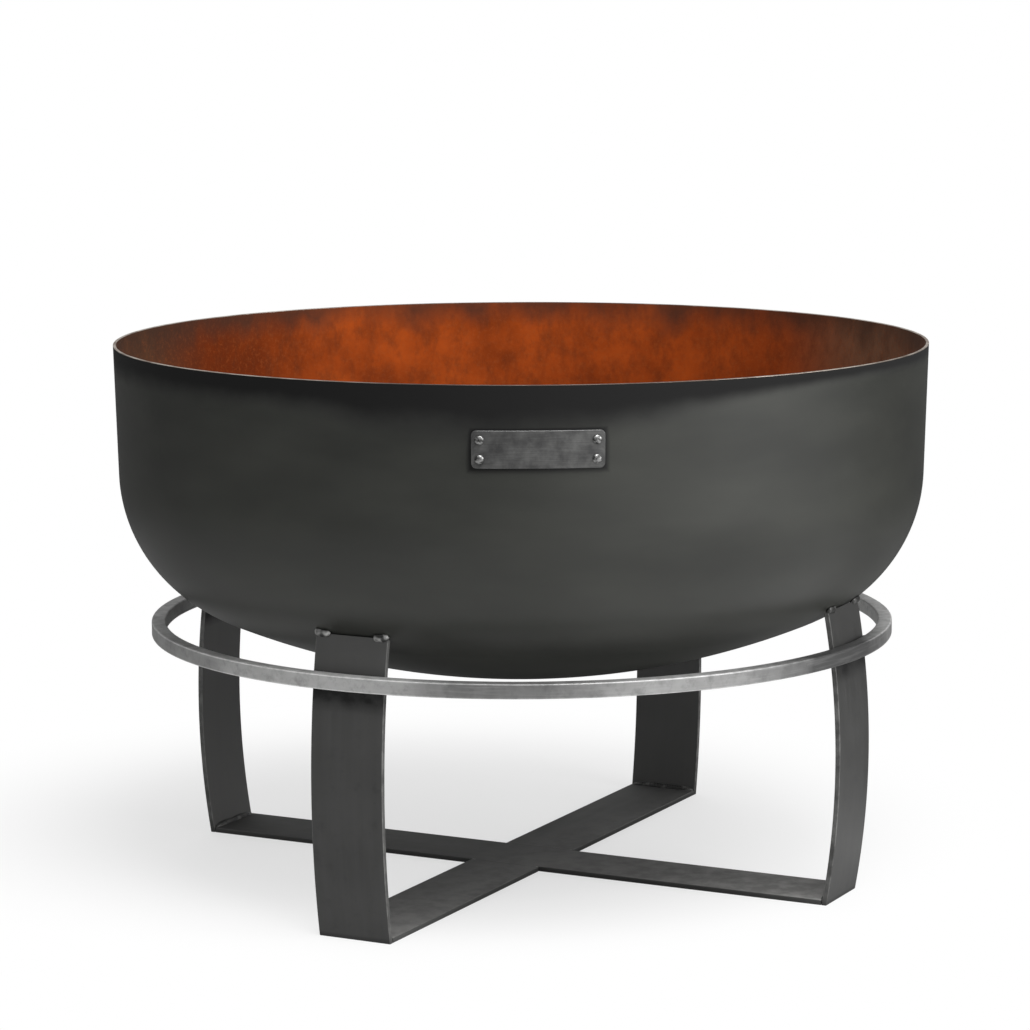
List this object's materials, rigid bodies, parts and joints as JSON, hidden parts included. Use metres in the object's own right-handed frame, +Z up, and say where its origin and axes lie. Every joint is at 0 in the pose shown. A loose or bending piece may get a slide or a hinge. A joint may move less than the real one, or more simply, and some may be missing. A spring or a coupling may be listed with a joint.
{
  "type": "outdoor fire pit",
  "caption": "Round dished steel fire bowl that lifts off a low welded stand with a flat cross base, bowed flat-bar legs and a square-bar hoop; a bare plate is riveted to the front.",
  "frame": {"origin": "on the bowl's axis at the floor, in the middle of the underside of the base cross", "axes": "+Z up along the bowl's axis; the name plate faces -Y; +X is to the right of someone who faces the plate"},
  "size_m": [0.7998, 0.802, 0.5259],
  "materials": {
    "bowl_steel": "satin dark grey outside, heat-browned and rusted inside, bare cut rim",
    "stand_steel": "satin dark grey",
    "hoop_steel": "bare rolled steel, dull",
    "plate_steel": "dark oiled steel",
    "rivet_steel": "dull steel",
    "weld_metal": "bead with fine ripples"
  },
  "bodies": {
    "stand": {"hoop": "hoop_steel", "base_through_bar": "stand_steel", "base_half_bar_front": "stand_steel", "base_half_bar_rear": "stand_steel", "leg_front_left": "stand_steel", "leg_front_right": "stand_steel", "leg_rear_right": "stand_steel", "leg_rear_left": "stand_steel", "cross_weld_front": "weld_metal", "cross_weld_rear": "weld_metal", "seat_front_left": "weld_metal", "foot_weld_front_left": "weld_metal", "hoop_weld_front_left": "weld_metal", "seat_front_right": "weld_metal", "foot_weld_front_right": "weld_metal", "hoop_weld_front_right": "weld_metal", "seat_rear_right": "weld_metal", "foot_weld_rear_right": "weld_metal", "hoop_weld_rear_right": "weld_metal", "seat_rear_left": "weld_metal", "foot_weld_rear_left": "weld_metal", "hoop_weld_rear_left": "weld_metal"},
    "bowl": {"fire_bowl": "bowl_steel", "name_plate": "plate_steel", "rivet_upper_left": "rivet_steel", "rivet_upper_right": "rivet_steel", "rivet_lower_left": "rivet_steel", "rivet_lower_right": "rivet_steel"}
  },
  "joints": [
    {"name": "lift_off", "type": "slide", "parent": "stand", "child": "bowl", "axis": [0, 0, 1], "range_m": [0, 0.12]}
  ]
}
